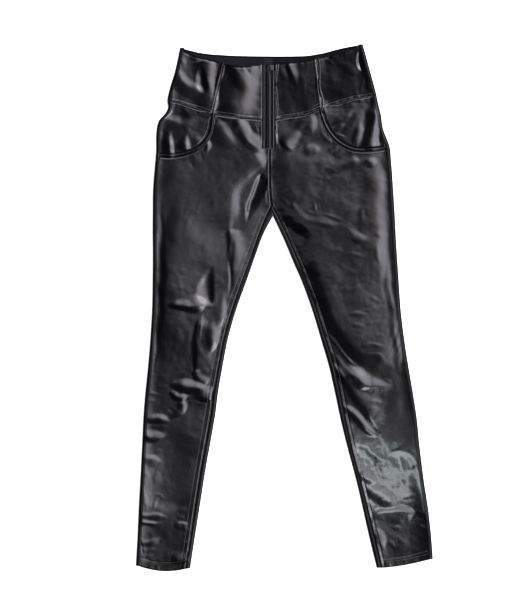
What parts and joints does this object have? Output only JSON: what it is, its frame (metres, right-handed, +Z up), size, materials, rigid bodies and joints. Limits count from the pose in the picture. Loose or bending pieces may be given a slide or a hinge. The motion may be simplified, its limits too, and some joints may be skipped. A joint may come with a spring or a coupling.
{
  "type": "high-waisted slim leather trousers, laid flat",
  "caption": "Slim high-waisted trousers in black leather-look cloth with a shaped waist yoke, curved front pockets and a front zip, laid flat on their back.",
  "frame": {"origin": "middle of the garment's plan box, on the surface that it lies on", "axes": "+X across the garment, to the viewer's right; +Y from the hems to the waist; +Z up from the surface, through the back and out of the front"},
  "size_m": [0.5938, 1.0538, 0.0143],
  "materials": {
    "leather": "glossy black leather-look coating, finely wrinkled",
    "zip_tape": "black woven tape",
    "slider_metal": "dark satin metal",
    "label_cloth": "plain grey satin ribbon, blank"
  },
  "bodies": {
    "root": {"front_leg_left": "leather", "front_leg_right": "leather", "back_leg_left": "leather", "back_leg_right": "leather", "back_yoke": "leather", "yoke_centre_left": "leather", "yoke_centre_right": "leather", "yoke_side_left": "leather", "yoke_side_right": "leather", "hip_panel_left": "leather", "hip_panel_right": "leather", "pocket_binding_left": "leather", "pocket_binding_right": "leather", "zip_lip_left": "leather", "zip_lip_right": "leather", "zip_tape": "zip_tape", "zip_slider": "slider_metal", "waist_label": "label_cloth"}
  },
  "joints": []
}
